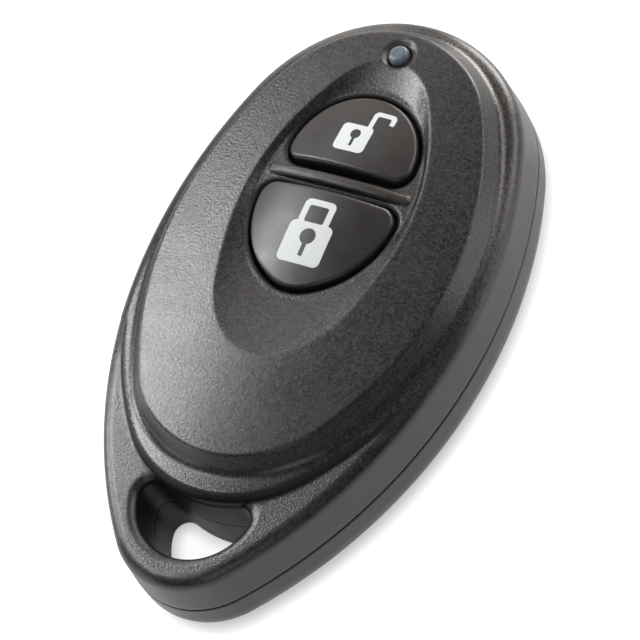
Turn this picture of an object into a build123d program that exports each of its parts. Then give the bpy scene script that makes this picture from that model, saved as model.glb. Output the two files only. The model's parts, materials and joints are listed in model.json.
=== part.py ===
from build123d import *
import os
from collections import namedtuple
from math import atan, degrees, hypot, sqrt

# Two-button radio key fob, lying on its back.
# Millimetres. X across, +Y towards the indicator light, -Y towards the key-ring hole, +Z out of the buttons.
# The origin is on the ground under the middle of the case.

# An egg outline is four tangent arcs: one at each end and a long one down each side.
Egg = namedtuple("Egg", "top bottom half_width top_radius bottom_radius")

# Case outlines
BODY = Egg(31.0, -31.0, 18.15, 16.1, 8.2)
STEP = Egg(33.0, -21.9, 18.9, 15.7, 12.75)
PLATEAU = Egg(28.0, -18.2, 14.6, 11.9, 11.35)

# Case heights and walls
REAR_DEPTH = 5.0
LOOP_RISE = 4.6
DECK_RISE = 5.6
PLATEAU_RISE = 7.5
CROWN_RADIUS = 135.0
WALL = 1.5
FLOOR = 1.4
CEILING = 2.0
SIDE_DRAFT = 4.0
SLOPE_RUN = 1.2
SLOPE_FOOT = 1.0
PLATEAU_EDGE = 0.2
REAR_EDGE = 2.8
SHOULDER = 1.2
STEP_EDGE = 0.9
SHADOW_GAP = 0.25
SHADOW_DEPTH = 0.45

# Key-ring hole
LOOP_WIDTH = 3.3
HOLE_R = 6.0
HOLE_CORNER = 1.4
HOLE_RIM = 0.9
HOLE_REAR_RIM = 0.4
HOLE_SETBACK = 0.05

# Tongue that locates the two shells
TONGUE_WIDTH = 0.65
TONGUE_HEIGHT = 1.0
TONGUE_CLEARANCE = 0.1

# Case screw
SCREW_Y = -15.6
SCREW_SHANK_R = 0.95
SCREW_LENGTH = 6.4
SCREW_HEAD_R = 1.9
SCREW_HEAD_H = 1.3
SCREW_SEAT = 2.4
SCREW_PASS_CLEARANCE = 0.2
SCREW_BITE_CLEARANCE = 0.03
HEAD_CLEARANCE = 0.3
DRIVE_REACH = 1.1
DRIVE_WIDTH = 0.45
DRIVE_DEPTH = 0.7
BOSS_WALL = 1.4

# Indicator light
LIGHT_Y = 25.6
LIGHT_R = 1.05
LIGHT_GAP = 0.15
LIGHT_PROUD = 0.3
LIGHT_CROWN = 0.5
LIGHT_FLANGE_R = 1.5
LIGHT_FLANGE_H = 0.7
LIGHT_SINK_R = 1.75
LIGHT_SINK_DEPTH = 0.35
LAMP_LENGTH = 3.2
LAMP_WIDTH = 1.6
LAMP_BASE_H = 0.5
LAMP_LENS_H = 0.7
LAMP_DRAFT = 12.0
LAMP_GAP = 0.2

# Button openings and keys
LOCK_EGG = Egg(17.0, -0.6, 7.6, 7.0, 5.0)
LOCK_FLAT_Y = 10.2
UNLOCK_R = 6.9
UNLOCK_Y = 14.2
UNLOCK_FLAT_Y = 12.3
KEY_CORNER = 1.9
KEY_LIP = 0.35
KEY_GAP = 0.3
KEY_CROWN_ACROSS = 27.0
KEY_CROWN_ALONG = 66.0
KEY_CROWN_Y = 10.0
KEY_TOP = 13.0
KEY_EDGE = 0.4
KEY_FLANGE = 0.6
KEY_FLANGE_H = 0.4
KEY_PIP_R = 1.3
KEY_PIP_H = 0.2
LOCK_PRESS_Y = 5.0
UNLOCK_PRESS_Y = 16.2

# Dished recess round the keys: a flat floor that clears both openings, and a rim where the dish meets the plateau
RECESS_DEPTH = 0.75
RECESS_MARGIN = 0.8
RECESS_SIDE_MARGIN = 1.3
RECESS_FLOOR = Egg(
    UNLOCK_Y + UNLOCK_R + RECESS_MARGIN,
    LOCK_EGG.bottom - RECESS_MARGIN,
    UNLOCK_R + RECESS_SIDE_MARGIN,
    6.5,
    6.6,
)
RECESS_TOP_RUN = 1.9
RECESS_SIDE_RUN = 1.0
RECESS_BOTTOM_RUN = 4.3
RECESS = Egg(
    RECESS_FLOOR.top + RECESS_TOP_RUN,
    RECESS_FLOOR.bottom - RECESS_BOTTOM_RUN,
    RECESS_FLOOR.half_width + RECESS_SIDE_RUN,
    6.0,
    8.0,
)

# Raised divider between the keys
DIVIDER_Y = 11.25
DIVIDER_HALF_LENGTH = 7.8
DIVIDER_WIDTH = 1.2
DIVIDER_RISE = 0.95
DIVIDER_CROWN = 40.0
DIVIDER_EDGE = 0.4

# Silicone keypad
MAT = Egg(23.2, -3.6, 10.4, 8.0, 8.6)
MAT_THICKNESS = 0.8
MAT_RIM = 0.9
MAT_HOLE_GAP = 0.3
WEB_THICKNESS = 0.45
WEB_SPREAD = 0.75
WEB_START = 0.05

# Circuit board
BOARD_THICKNESS = 0.8
BOARD_GAP = 0.6
BOARD_Z = 6.0
POST_R = 1.3
PIN_R = 0.55
PIN_CLEARANCE = 0.1
PIN_HEIGHT = 0.7
POSTS = [(13.0, 10.5), (-13.0, 10.5), (9.6, -7.2), (-9.6, -7.2)]
ANTENNA_WIDTH = 0.9
ANTENNA_INSET = 0.5
ANTENNA_GAP = 5.0
COPPER = 0.08

# Tactile switches
SWITCH_SIDE = 4.5
SWITCH_BASE_H = 1.2
SWITCH_POCKET_R = 1.7
SWITCH_POCKET_DEPTH = 0.9
SWITCH_COVER_T = 0.2
SWITCH_STEM_R = 1.0
SWITCH_STEM_H = 0.6
SWITCH_COLLAR_R = 1.5
SWITCH_COLLAR_H = 0.4
SWITCH_CLEARANCE = 0.05
DOME_HEIGHT = 0.45
DOME_T = 0.08
LEG_WIDTH = 0.6
LEG_T = 0.15
LEG_REACH = 0.9
LEG_PITCH = 3.0

# Parts on the circuit board
CHIP_AT = (-2.6, -7.9)
CHIP_LENGTH = 4.9
CHIP_WIDTH = 3.9
CHIP_H = 1.35
CHIP_BEVEL = 0.2
CHIP_STANDOFF = 0.1
CHIP_PITCH = 1.27
CHIP_LEAD_WIDTH = 0.42
CHIP_LEAD_T = 0.2
CHIP_LEAD_RISE = 0.7
CHIP_LEAD_REACH = 1.05
SAW_AT = (5.3, -7.9)
SAW_LENGTH = 5.0
SAW_WIDTH = 3.6
SAW_CORNER = 0.6
SAW_FLANGE = 0.35
SAW_FLANGE_H = 0.3
SAW_H = 1.3
TRIMMER_AT = (12.7, 2.6)
TRIMMER_WIDTH = 2.6
TRIMMER_LENGTH = 3.2
TRIMMER_H = 0.9
TRIMMER_SLOT = 0.4
TRIMMER_TURN = 35.0
TRANSISTOR_AT = (12.7, 6.6)
TRANSISTOR_WIDTH = 1.3
TRANSISTOR_LENGTH = 2.9
TRANSISTOR_H = 0.9
TRANSISTOR_LEAD = 1.1
RESISTORS = [(-12.8, 6.4), (-12.8, 3.6), (-12.8, 0.8), (-11.2, -2.2), (-7.9, -9.6)]
RESISTOR_LENGTH = 2.0
RESISTOR_WIDTH = 1.25
RESISTOR_H = 0.5
CAPACITORS = [(12.7, -0.9), (11.2, -3.4), (9.1, -3.9), (6.9, -4.4), (-6.7, -5.4), (-9.2, -4.0)]
CAPACITOR_LENGTH = 1.6
CAPACITOR_WIDTH = 0.8
CAPACITOR_H = 0.8
CHIP_END = 0.3

# Coin cell and its contacts
CELL_Y = 3.0
CELL_R = 10.0
CELL_H = 3.2
CAN_WALL = 0.3
SEAL_WIDTH = 0.9
CAN_DROP = 0.3
CLIP_T = 0.3
CLIP_WIDTH = 6.0
CLIP_GAP = 0.3
CLIP_FOOT = 1.6
SPRING_T = 0.2
SPRING_WIDTH = 3.0
SPRING_REACH = 3.6
SPRING_FOOT = 2.4

# Heights that follow from the sizes above
PART_Z = REAR_DEPTH
LOOP_Z = PART_Z + LOOP_RISE
DECK_Z = PART_Z + DECK_RISE
PLATEAU_Z = PART_Z + PLATEAU_RISE
CEILING_Z = PLATEAU_Z - CEILING
RECESS_Z = PLATEAU_Z - RECESS_DEPTH
BOARD_TOP = BOARD_Z + BOARD_THICKNESS
LAMP_TOP = BOARD_TOP + LAMP_BASE_H + LAMP_LENS_H
PLUNGER_TOP = BOARD_TOP + SWITCH_BASE_H + SWITCH_STEM_H
FLANGE_Z = PLUNGER_TOP + KEY_PIP_H
FLANGE_TOP = FLANGE_Z + KEY_FLANGE_H
MAT_TOP = CEILING_Z
MAT_Z = MAT_TOP - MAT_THICKNESS
CAVITY = Egg(
    BODY.top - WALL,
    STEP.bottom + WALL,
    BODY.half_width - WALL,
    BODY.top_radius - WALL,
    STEP.bottom_radius - WALL,
)


def side_arc(egg):
    """Radius and centre of the long side arc that touches both end arcs inside."""
    top_y = egg.top - egg.top_radius
    bottom_y = egg.bottom + egg.bottom_radius
    span = top_y - bottom_y
    lean = (egg.top_radius - egg.bottom_radius) / span
    rest = (top_y**2 - bottom_y**2 - egg.top_radius**2 + egg.bottom_radius**2) / (2 * span)
    drop = rest - top_y
    a = lean**2
    b = 2 * (egg.top_radius + lean * drop - egg.half_width)
    c = egg.half_width**2 + drop**2 - egg.top_radius**2
    radius = 2 * c / (-b + sqrt(b**2 - 4 * a * c))
    return radius, egg.half_width - radius, rest + lean * radius


class EggFace(BaseSketchObject):
    """An egg outline, grown outwards by grow, as a face."""

    def __init__(self, egg, grow=0.0, mode=Mode.ADD):
        radius, centre_x, centre_y = side_arc(egg)
        corners = []
        for end_y in (egg.top - egg.top_radius, egg.bottom + egg.bottom_radius):
            away = hypot(centre_x, end_y - centre_y)
            reach = (radius + grow) / away
            corners.append((centre_x - centre_x * reach, centre_y + (end_y - centre_y) * reach))
        (top_x, top_y), (bottom_x, bottom_y) = corners
        side = egg.half_width + grow
        edges = [
            Edge.make_three_point_arc((top_x, top_y), (0, egg.top + grow), (-top_x, top_y)),
            Edge.make_three_point_arc((-top_x, top_y), (-side, centre_y), (-bottom_x, bottom_y)),
            Edge.make_three_point_arc((-bottom_x, bottom_y), (0, egg.bottom - grow), (bottom_x, bottom_y)),
            Edge.make_three_point_arc((bottom_x, bottom_y), (side, centre_y), (top_x, top_y)),
        ]
        super().__init__(obj=Face(Wire(edges)), mode=mode)


def spread(inner, outer, factor):
    """The egg that lies factor times as far beyond inner as outer does."""
    return Egg(*(a + (b - a) * factor for a, b in zip(inner, outer)))


def lock_outline(grow=0.0):
    with BuildSketch() as outline:
        EggFace(LOCK_EGG)
        with Locations((0, LOCK_FLAT_Y + BODY.top)):
            Rectangle(2 * BODY.top, 2 * BODY.top, mode=Mode.SUBTRACT)
        fillet(outline.vertices().group_by(Axis.Y)[-1], KEY_CORNER)
        if grow:
            offset(amount=grow)
    return outline.sketch


def unlock_outline(grow=0.0):
    with BuildSketch() as outline:
        with Locations((0, UNLOCK_Y)):
            Circle(UNLOCK_R)
        with Locations((0, UNLOCK_FLAT_Y - BODY.top)):
            Rectangle(2 * BODY.top, 2 * BODY.top, mode=Mode.SUBTRACT)
        fillet(outline.vertices().group_by(Axis.Y)[0], KEY_CORNER)
        if grow:
            offset(amount=grow)
    return outline.sketch


def hole_outline():
    """Key-ring hole: a circle cut off by the step wall, with rounded corners."""
    with BuildSketch() as outline:
        with Locations((0, BODY.bottom + LOOP_WIDTH + HOLE_R)):
            Circle(HOLE_R)
        EggFace(STEP, grow=HOLE_SETBACK, mode=Mode.SUBTRACT)
        fillet(outline.vertices().group_by(Axis.Y)[-1], HOLE_CORNER)
    return outline.sketch


def crown(top_z, radius=CROWN_RADIUS):
    """Everything under a crown that curves across the case."""
    with BuildPart() as builder:
        with BuildSketch(Plane.XZ):
            with Locations((0, top_z - radius)):
                Circle(radius)
        extrude(amount=2 * BODY.top, both=True)
    return builder.part


def finish(builder, name):
    builder.part.label = name
    export_step(builder.part, f"parts/{name}.step")


os.makedirs("parts", exist_ok=True)

# Plateau: sloping sides and a crowned top
SLOPE_RISE = PLATEAU_Z - DECK_Z
SLOPE_ANGLE = degrees(atan(SLOPE_RUN / SLOPE_RISE))
with BuildPart() as plateau:
    with BuildSketch(Plane.XY.offset(DECK_Z - 0.7 * SLOPE_RISE)):
        EggFace(PLATEAU, grow=1.7 * SLOPE_RUN)
    extrude(amount=2.2 * SLOPE_RISE, taper=SLOPE_ANGLE)
    add(crown(PLATEAU_Z), mode=Mode.INTERSECT)
    fillet(plateau.faces().sort_by(Axis.Z)[-1].edges(), PLATEAU_EDGE)

# Upper body: a crowned deck with a round shoulder, from which the plateau rises on a curved foot
with BuildPart() as upper_body:
    with BuildSketch(Plane.XY.offset(PART_Z)):
        EggFace(BODY)
    extrude(amount=DECK_RISE, taper=SIDE_DRAFT)
    add(crown(DECK_Z), mode=Mode.INTERSECT)
    fillet(upper_body.faces().sort_by(Axis.Z)[-1].edges(), SHOULDER)
    add(plateau.part)
    fillet(upper_body.edges(Select.NEW), SLOPE_FOOT)

# The step down to the key-ring loop runs out where the crown has dropped to the loop's own height
FADE_X = min(sqrt(CROWN_RADIUS**2 - (CROWN_RADIUS - DECK_Z + LOOP_Z) ** 2), STEP.half_width)
STEP_SIDE_R, STEP_CENTRE_X, STEP_CENTRE_Y = side_arc(STEP)
FADE_Y = STEP_CENTRE_Y - sqrt(STEP_SIDE_R**2 - (FADE_X - STEP_CENTRE_X) ** 2)

# What stays of the upper body at the step: all inside its rounded edge, and all beyond the run-out
with BuildPart() as step_plug:
    with BuildSketch(Plane.XY.offset(PART_Z)):
        EggFace(STEP)
    extrude(amount=PLATEAU_RISE)
    add(crown(DECK_Z), mode=Mode.INTERSECT)
    fillet(step_plug.faces().sort_by(Axis.Z)[-1].edges(), STEP_EDGE)
    with BuildSketch(Plane.XY.offset(PART_Z)):
        EggFace(STEP, grow=-STEP_EDGE)
        with Locations((0, FADE_Y + BODY.top)):
            Rectangle(2 * BODY.top, 2 * BODY.top)
    extrude(amount=PLATEAU_RISE)

# Key-ring loop: the lower level round the hole
with BuildPart() as loop_block:
    with BuildSketch(Plane.XY.offset(PART_Z)):
        EggFace(BODY)
    extrude(amount=LOOP_RISE, taper=SIDE_DRAFT)
    fillet(loop_block.edges().group_by(Axis.Z)[-1], SHOULDER)
    with BuildSketch(Plane.XY.offset(PART_Z)):
        add(hole_outline())
    extrude(amount=LOOP_RISE, mode=Mode.SUBTRACT)
    loop_top = loop_block.faces().sort_by(Axis.Z)[-1]
    fillet(loop_top.inner_wires()[0].edges(), HOLE_RIM)
    with BuildSketch(Plane.XY.offset(PART_Z)):
        with Locations((0, FADE_Y + BODY.top)):
            Rectangle(2 * BODY.top, 2 * BODY.top)
    extrude(amount=PLATEAU_RISE, mode=Mode.SUBTRACT)

# Hollow of the front shell, open at the parting line
with BuildPart() as hollow:
    with BuildSketch(Plane.XY.offset(PART_Z)):
        EggFace(CAVITY)
    extrude(amount=DECK_RISE - WALL, taper=SIDE_DRAFT)
    add(crown(DECK_Z - WALL), mode=Mode.INTERSECT)
    with BuildSketch(Plane.XY.offset(PART_Z)):
        EggFace(PLATEAU, grow=-WALL / 2)
    extrude(amount=CEILING_Z - PART_Z)
    with BuildSketch(Plane.XY.offset(PART_Z)):
        EggFace(CAVITY, grow=TONGUE_WIDTH + TONGUE_CLEARANCE)
    extrude(amount=TONGUE_HEIGHT + TONGUE_CLEARANCE)

# Divider between the keys: a round-ended ridge that is highest in the middle
with BuildPart() as divider:
    with BuildSketch(Plane.XY.offset(RECESS_Z - RECESS_DEPTH)):
        with Locations((0, DIVIDER_Y)):
            SlotOverall(2 * DIVIDER_HALF_LENGTH, DIVIDER_WIDTH)
    extrude(amount=RECESS_DEPTH + DIVIDER_RISE)
    add(crown(RECESS_Z + DIVIDER_RISE, DIVIDER_CROWN), mode=Mode.INTERSECT)
    fillet(divider.faces().sort_by(Axis.Z)[-1].edges(), DIVIDER_EDGE)

# Front shell
with BuildPart() as front_shell:
    add(upper_body.part)
    add(step_plug.part, mode=Mode.INTERSECT)
    add(loop_block.part)
    add(hollow.part, mode=Mode.SUBTRACT)
    # Dished recess round the keys
    with BuildSketch(Plane.XY.offset(RECESS_Z)):
        EggFace(RECESS_FLOOR)
    with BuildSketch(Plane.XY.offset(RECESS_Z + 2 * RECESS_DEPTH)):
        EggFace(spread(RECESS_FLOOR, RECESS, 3.0))
    loft(mode=Mode.SUBTRACT)
    # Key openings with rounded lips
    with BuildSketch(Plane.XY.offset(CEILING_Z)):
        add(lock_outline())
        add(unlock_outline())
    extrude(amount=PLATEAU_RISE, mode=Mode.SUBTRACT)
    fillet(front_shell.edges(Select.LAST).group_by(Axis.Z)[-1], KEY_LIP)
    # Divider
    add(divider.part)
    # Light opening with its sunk ring
    with BuildSketch(Plane.XY.offset(CEILING_Z)):
        with Locations((0, LIGHT_Y)):
            Circle(LIGHT_R + LIGHT_GAP)
    extrude(amount=PLATEAU_RISE, mode=Mode.SUBTRACT)
    with BuildSketch(Plane.XY.offset(PLATEAU_Z - LIGHT_SINK_DEPTH)) as sink_floor:
        with Locations((0, LIGHT_Y)):
            Circle(LIGHT_R + LIGHT_GAP)
    with BuildSketch(Plane.XY.offset(PLATEAU_Z)) as sink_top:
        with Locations((0, LIGHT_Y)):
            Circle(LIGHT_SINK_R)
    loft(mode=Mode.SUBTRACT)
    # Screw boss
    with BuildSketch(Plane.XY.offset(PART_Z)):
        with Locations((0, SCREW_Y)):
            Circle(SCREW_SHANK_R + BOSS_WALL)
    extrude(amount=CEILING_Z - PART_Z)
    with BuildSketch(Plane.XY.offset(PART_Z)):
        with Locations((0, SCREW_Y)):
            Circle(SCREW_SHANK_R + SCREW_BITE_CLEARANCE)
    extrude(amount=SCREW_SEAT + SCREW_LENGTH - PART_Z + WALL / 2, mode=Mode.SUBTRACT)
finish(front_shell, "front_shell")

# Rear shell
with BuildPart() as rear_shell:
    with BuildSketch(Plane.XY):
        EggFace(BODY)
    extrude(amount=PART_Z)
    fillet(rear_shell.edges().group_by(Axis.Z)[0], REAR_EDGE)
    with BuildSketch(Plane.XY.offset(PART_Z - SHADOW_GAP)):
        EggFace(BODY, grow=WALL)
        EggFace(BODY, grow=-SHADOW_DEPTH, mode=Mode.SUBTRACT)
    extrude(amount=SHADOW_GAP, mode=Mode.SUBTRACT)
    with BuildSketch(Plane.XY.offset(FLOOR)):
        EggFace(CAVITY)
    extrude(amount=PART_Z - FLOOR, mode=Mode.SUBTRACT)
    with BuildSketch(Plane.XY.offset(PART_Z)):
        EggFace(CAVITY, grow=TONGUE_WIDTH)
        EggFace(CAVITY, mode=Mode.SUBTRACT)
    extrude(amount=TONGUE_HEIGHT)
    # Board posts with locating pins
    with BuildSketch(Plane.XY.offset(FLOOR)):
        with Locations(*POSTS):
            Circle(POST_R)
    extrude(amount=BOARD_Z - FLOOR)
    with BuildSketch(Plane.XY.offset(BOARD_Z)):
        with Locations(*POSTS):
            Circle(PIN_R)
    extrude(amount=BOARD_THICKNESS + PIN_HEIGHT)
    # Screw boss, sunk for the head
    with BuildSketch(Plane.XY.offset(FLOOR)):
        with Locations((0, SCREW_Y)):
            Circle(SCREW_HEAD_R + HEAD_CLEARANCE + BOSS_WALL)
    extrude(amount=PART_Z - FLOOR)
    with Locations(Location((0, SCREW_Y, 0), (180, 0, 0))):
        CounterBoreHole(
            radius=SCREW_SHANK_R + SCREW_PASS_CLEARANCE,
            counter_bore_radius=SCREW_HEAD_R + HEAD_CLEARANCE,
            counter_bore_depth=SCREW_SEAT,
            depth=PART_Z,
        )
    with BuildSketch(Plane.XY):
        add(hole_outline())
    extrude(amount=PART_Z, mode=Mode.SUBTRACT)
    fillet(rear_shell.edges(Select.LAST).group_by(Axis.Z)[0], HOLE_REAR_RIM)
finish(rear_shell, "rear_shell")

# Case screw: pan head in the rear counterbore, shank up into the front boss
with BuildPart() as case_screw:
    with BuildSketch(Plane.XY.offset(SCREW_SEAT - SCREW_HEAD_H)):
        with Locations((0, SCREW_Y)):
            Circle(SCREW_HEAD_R)
    extrude(amount=SCREW_HEAD_H)
    fillet(case_screw.edges().group_by(Axis.Z)[0], SCREW_HEAD_H / 3)
    with BuildSketch(Plane.XY.offset(SCREW_SEAT)):
        with Locations((0, SCREW_Y)):
            Circle(SCREW_SHANK_R)
    extrude(amount=SCREW_LENGTH)
    chamfer(case_screw.edges().group_by(Axis.Z)[-1], SCREW_SHANK_R / 2)
    with BuildSketch(Plane.XY.offset(SCREW_SEAT - SCREW_HEAD_H)):
        with Locations((0, SCREW_Y)):
            Rectangle(2 * DRIVE_REACH, DRIVE_WIDTH)
            Rectangle(DRIVE_WIDTH, 2 * DRIVE_REACH)
    extrude(amount=DRIVE_DEPTH, mode=Mode.SUBTRACT)
finish(case_screw, "case_screw")


def key(outline, press_y):
    """A domed key with a flange round its foot and a pip over its switch."""
    with BuildPart() as builder:
        with BuildSketch(Plane.XY.offset(FLANGE_TOP)):
            add(outline(-KEY_GAP))
        extrude(amount=KEY_TOP - FLANGE_TOP)
        with Locations((0, KEY_CROWN_Y, KEY_TOP - KEY_CROWN_ALONG)):
            Torus(
                KEY_CROWN_ALONG - KEY_CROWN_ACROSS,
                KEY_CROWN_ACROSS,
                rotation=(0, 90, 0),
                mode=Mode.INTERSECT,
            )
        fillet(builder.faces().sort_by(Axis.Z)[-1].edges(), KEY_EDGE)
        with BuildSketch(Plane.XY.offset(FLANGE_Z)):
            add(outline(KEY_FLANGE - KEY_GAP))
        extrude(amount=KEY_FLANGE_H)
        with BuildSketch(Plane.XY.offset(PLUNGER_TOP)):
            with Locations((0, press_y)):
                Circle(KEY_PIP_R)
        extrude(amount=KEY_PIP_H)
    return builder


def web(outline):
    """Thin flexing skirt from the key's flange up to the underside of the mat."""
    rise = MAT_Z - FLANGE_TOP
    lean = -degrees(atan(WEB_SPREAD / rise))
    with BuildPart() as builder:
        with BuildSketch(Plane.XY.offset(FLANGE_TOP)):
            add(outline(WEB_START + WEB_THICKNESS - KEY_GAP))
        extrude(amount=rise, taper=lean)
        with BuildSketch(Plane.XY.offset(FLANGE_TOP)):
            add(outline(WEB_START - KEY_GAP))
        extrude(amount=rise, taper=lean, mode=Mode.SUBTRACT)
    return builder


# Silicone keypad: two keys, their webs and the mat that holds them
for name, outline, press_y in (
    ("lock", lock_outline, LOCK_PRESS_Y),
    ("unlock", unlock_outline, UNLOCK_PRESS_Y),
):
    finish(key(outline, press_y), f"{name}_button")
    finish(web(outline), f"{name}_web")

with BuildPart() as keypad_mat:
    with BuildSketch(Plane.XY.offset(BOARD_TOP)):
        EggFace(MAT)
    extrude(amount=MAT_TOP - BOARD_TOP)
    with BuildSketch(Plane.XY.offset(BOARD_TOP)):
        EggFace(MAT, grow=-MAT_RIM)
    extrude(amount=MAT_Z - BOARD_TOP, mode=Mode.SUBTRACT)
    with BuildSketch(Plane.XY.offset(MAT_Z)):
        add(lock_outline(MAT_HOLE_GAP))
        add(unlock_outline(MAT_HOLE_GAP))
    extrude(amount=MAT_THICKNESS, mode=Mode.SUBTRACT)
finish(keypad_mat, "keypad_mat")

# Circuit board, cut straight above the screw boss
BOARD_END_Y = SCREW_Y + SCREW_HEAD_R + HEAD_CLEARANCE + BOSS_WALL + BOARD_GAP
with BuildPart() as circuit_board:
    with BuildSketch(Plane.XY.offset(BOARD_Z)):
        EggFace(CAVITY, grow=-BOARD_GAP)
        with Locations((0, BOARD_END_Y - BODY.top)):
            Rectangle(2 * BODY.top, 2 * BODY.top, mode=Mode.SUBTRACT)
        with Locations(*POSTS):
            Circle(PIN_R + PIN_CLEARANCE, mode=Mode.SUBTRACT)
    extrude(amount=BOARD_THICKNESS)
finish(circuit_board, "circuit_board")

with BuildPart() as antenna_loop:
    with BuildSketch(Plane.XY.offset(BOARD_TOP)):
        EggFace(CAVITY, grow=-BOARD_GAP - ANTENNA_INSET)
        EggFace(CAVITY, grow=-BOARD_GAP - ANTENNA_INSET - ANTENNA_WIDTH, mode=Mode.SUBTRACT)
        with Locations((0, BOARD_END_Y + ANTENNA_GAP - BODY.top)):
            Rectangle(2 * BODY.top, 2 * BODY.top, mode=Mode.SUBTRACT)
    extrude(amount=COPPER)
finish(antenna_loop, "antenna_loop")

# Tactile switches: base, snap dome, plunger, metal cover and legs
SWITCH_FLOOR = BOARD_TOP + SWITCH_BASE_H - SWITCH_POCKET_DEPTH
COLLAR_Z = BOARD_TOP + SWITCH_BASE_H - SWITCH_COLLAR_H
for name, press_y in (("lock", LOCK_PRESS_Y), ("unlock", UNLOCK_PRESS_Y)):
    with BuildPart() as switch_base:
        with BuildSketch(Plane.XY.offset(BOARD_TOP)):
            with Locations((0, press_y)):
                Rectangle(SWITCH_SIDE, SWITCH_SIDE)
        extrude(amount=SWITCH_BASE_H)
        with BuildSketch(Plane.XY.offset(SWITCH_FLOOR)):
            with Locations((0, press_y)):
                Circle(SWITCH_POCKET_R)
        extrude(amount=SWITCH_POCKET_DEPTH, mode=Mode.SUBTRACT)
    finish(switch_base, f"{name}_switch_base")

    with BuildPart() as switch_dome:
        rim_r = SWITCH_POCKET_R - SWITCH_CLEARANCE
        swell = (rim_r**2 + DOME_HEIGHT**2) / (2 * DOME_HEIGHT)
        with BuildSketch(Plane.XY.offset(SWITCH_FLOOR)):
            with Locations((0, press_y)):
                Circle(rim_r)
        extrude(amount=DOME_HEIGHT)
        with Locations((0, press_y, SWITCH_FLOOR + DOME_HEIGHT - swell)):
            Sphere(swell, mode=Mode.INTERSECT)
        with Locations((0, press_y, SWITCH_FLOOR + DOME_HEIGHT - DOME_T - swell)):
            Sphere(swell, mode=Mode.SUBTRACT)
    finish(switch_dome, f"{name}_switch_dome")

    with BuildPart() as switch_plunger:
        with BuildSketch(Plane.XY.offset(COLLAR_Z)):
            with Locations((0, press_y)):
                Circle(SWITCH_COLLAR_R)
        extrude(amount=SWITCH_COLLAR_H)
        with BuildSketch(Plane.XY.offset(COLLAR_Z)):
            with Locations((0, press_y)):
                Circle(SWITCH_STEM_R)
        extrude(amount=PLUNGER_TOP - COLLAR_Z)
    finish(switch_plunger, f"{name}_switch_plunger")

    with BuildPart() as switch_cover:
        with BuildSketch(Plane.XY.offset(BOARD_TOP + SWITCH_BASE_H)):
            with Locations((0, press_y)):
                Rectangle(SWITCH_SIDE, SWITCH_SIDE)
                Circle(SWITCH_STEM_R + SWITCH_CLEARANCE, mode=Mode.SUBTRACT)
        extrude(amount=SWITCH_COVER_T)
    finish(switch_cover, f"{name}_switch_cover")

    with BuildPart() as switch_legs:
        with BuildSketch(Plane.XY.offset(BOARD_TOP)):
            with Locations((0, press_y)):
                with GridLocations(SWITCH_SIDE + LEG_REACH, LEG_PITCH, 2, 2):
                    Rectangle(LEG_REACH, LEG_WIDTH)
        extrude(amount=LEG_T)
        with BuildSketch(Plane.XY.offset(BOARD_TOP)):
            with Locations((0, press_y)):
                with GridLocations(SWITCH_SIDE + LEG_T, LEG_PITCH, 2, 2):
                    Rectangle(LEG_T, LEG_WIDTH)
        extrude(amount=SWITCH_BASE_H / 2)
    finish(switch_legs, f"{name}_switch_legs")

# Indicator light: a clear light pipe over a surface-mount lamp
with BuildPart() as indicator_lens:
    with BuildSketch(Plane.XY.offset(CEILING_Z - LIGHT_FLANGE_H)):
        with Locations((0, LIGHT_Y)):
            Circle(LIGHT_FLANGE_R)
    extrude(amount=LIGHT_FLANGE_H)
    with BuildSketch(Plane.XY.offset(LAMP_TOP + LAMP_GAP)):
        with Locations((0, LIGHT_Y)):
            Circle(LIGHT_R)
    extrude(amount=PLATEAU_Z + LIGHT_PROUD - LAMP_TOP - LAMP_GAP)
    fillet(indicator_lens.edges().group_by(Axis.Z)[-1], LIGHT_CROWN)
finish(indicator_lens, "indicator_lens")

with BuildPart() as indicator_lamp:
    with BuildSketch(Plane.XY.offset(BOARD_TOP)):
        with Locations((0, LIGHT_Y)):
            Rectangle(LAMP_LENGTH, LAMP_WIDTH)
    extrude(amount=LAMP_BASE_H)
    with BuildSketch(Plane.XY.offset(BOARD_TOP + LAMP_BASE_H)):
        with Locations((0, LIGHT_Y)):
            Rectangle(LAMP_LENGTH * 2 / 3, LAMP_WIDTH)
    extrude(amount=LAMP_LENS_H, taper=LAMP_DRAFT)
finish(indicator_lamp, "indicator_lamp")

# Encoder chip with a row of leads along each side
with BuildPart() as encoder_chip:
    with BuildSketch(Plane.XY.offset(BOARD_TOP + CHIP_STANDOFF)):
        with Locations(CHIP_AT):
            Rectangle(CHIP_LENGTH, CHIP_WIDTH)
    extrude(amount=CHIP_H)
    chamfer(encoder_chip.edges().group_by(Axis.Z)[-1], CHIP_BEVEL)
finish(encoder_chip, "encoder_chip")

with BuildPart() as encoder_leads:
    for height, inner, outer in (
        (0, CHIP_LEAD_T, CHIP_LEAD_REACH),
        (CHIP_LEAD_T, CHIP_LEAD_T, 2 * CHIP_LEAD_T),
        (CHIP_LEAD_RISE, 0, 2 * CHIP_LEAD_T),
    ):
        row_y = CHIP_WIDTH / 2 + (inner + outer) / 2
        with BuildSketch(Plane.XY.offset(BOARD_TOP + height)):
            with Locations(CHIP_AT):
                with GridLocations(CHIP_PITCH, 2 * row_y, 4, 2):
                    Rectangle(CHIP_LEAD_WIDTH, outer - inner)
        extrude(amount=CHIP_LEAD_RISE - CHIP_LEAD_T if height == CHIP_LEAD_T else CHIP_LEAD_T)
finish(encoder_leads, "encoder_leads")

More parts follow.
